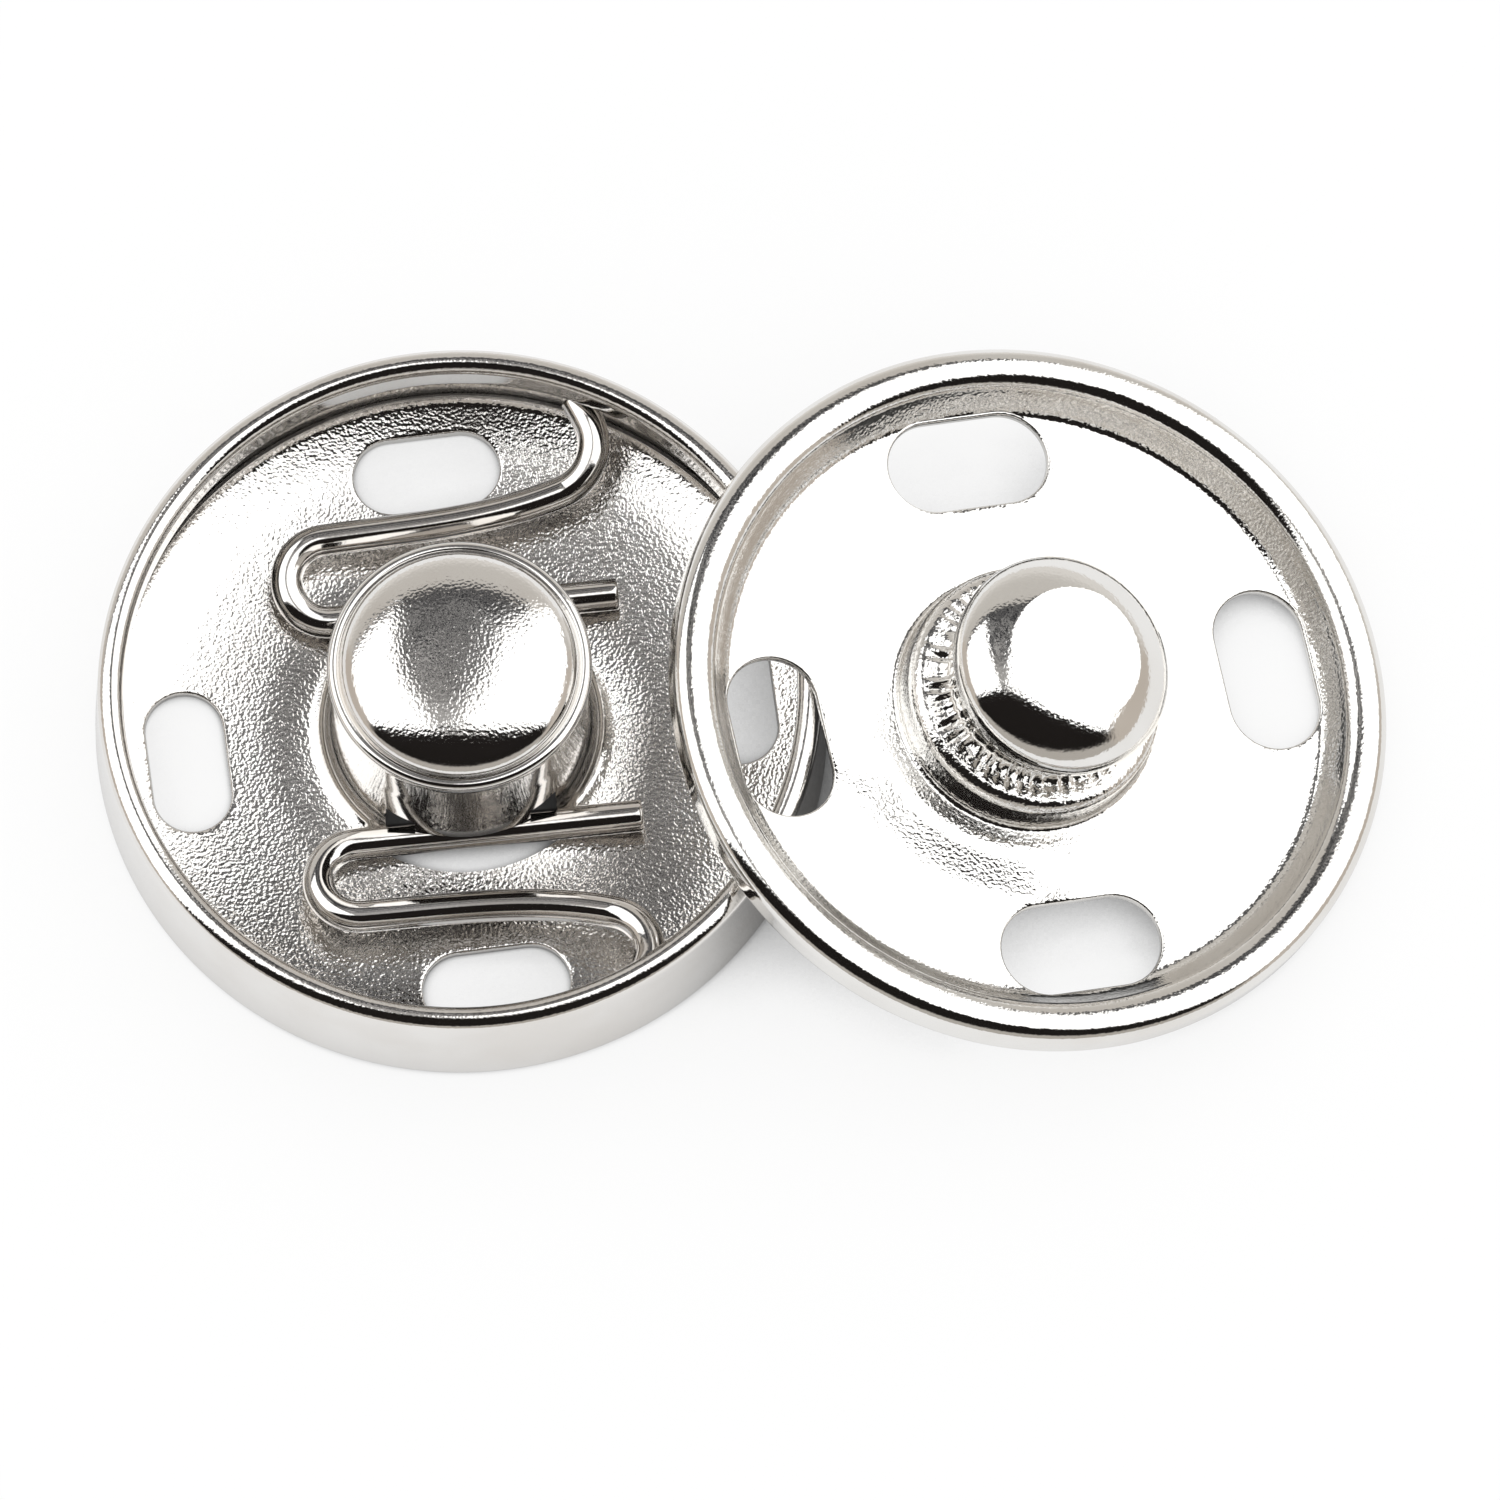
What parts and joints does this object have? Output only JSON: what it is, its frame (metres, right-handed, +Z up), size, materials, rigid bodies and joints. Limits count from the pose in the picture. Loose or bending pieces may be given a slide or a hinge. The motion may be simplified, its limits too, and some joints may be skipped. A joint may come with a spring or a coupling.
{
  "type": "snap fastener",
  "caption": "Large sew-on metal snap fastener: socket half with rolled rim and bent wire springs, stud half leaning on its rim",
  "frame": {"origin": "middle of the pair's bounding box, on the plane both halves stand on", "axes": "+X through both centres from the socket half to the stud half, +Z up, +Y to the back of the picture"},
  "size_m": [0.0368, 0.021, 0.0077],
  "materials": {
    "nickel_plate": "bright nickel plate over pressed sheet, fine grain on the flat floor",
    "nickel_wire": "bright nickel-plated spring wire, smooth",
    "nickel_plate_stud": "bright nickel plate over pressed sheet, fine grain on the flat floor"
  },
  "bodies": {
    "root": {"socket_disc": "nickel_plate", "spring_back": "nickel_wire", "spring_front": "nickel_wire", "stud_disc": "nickel_plate_stud"}
  },
  "joints": []
}
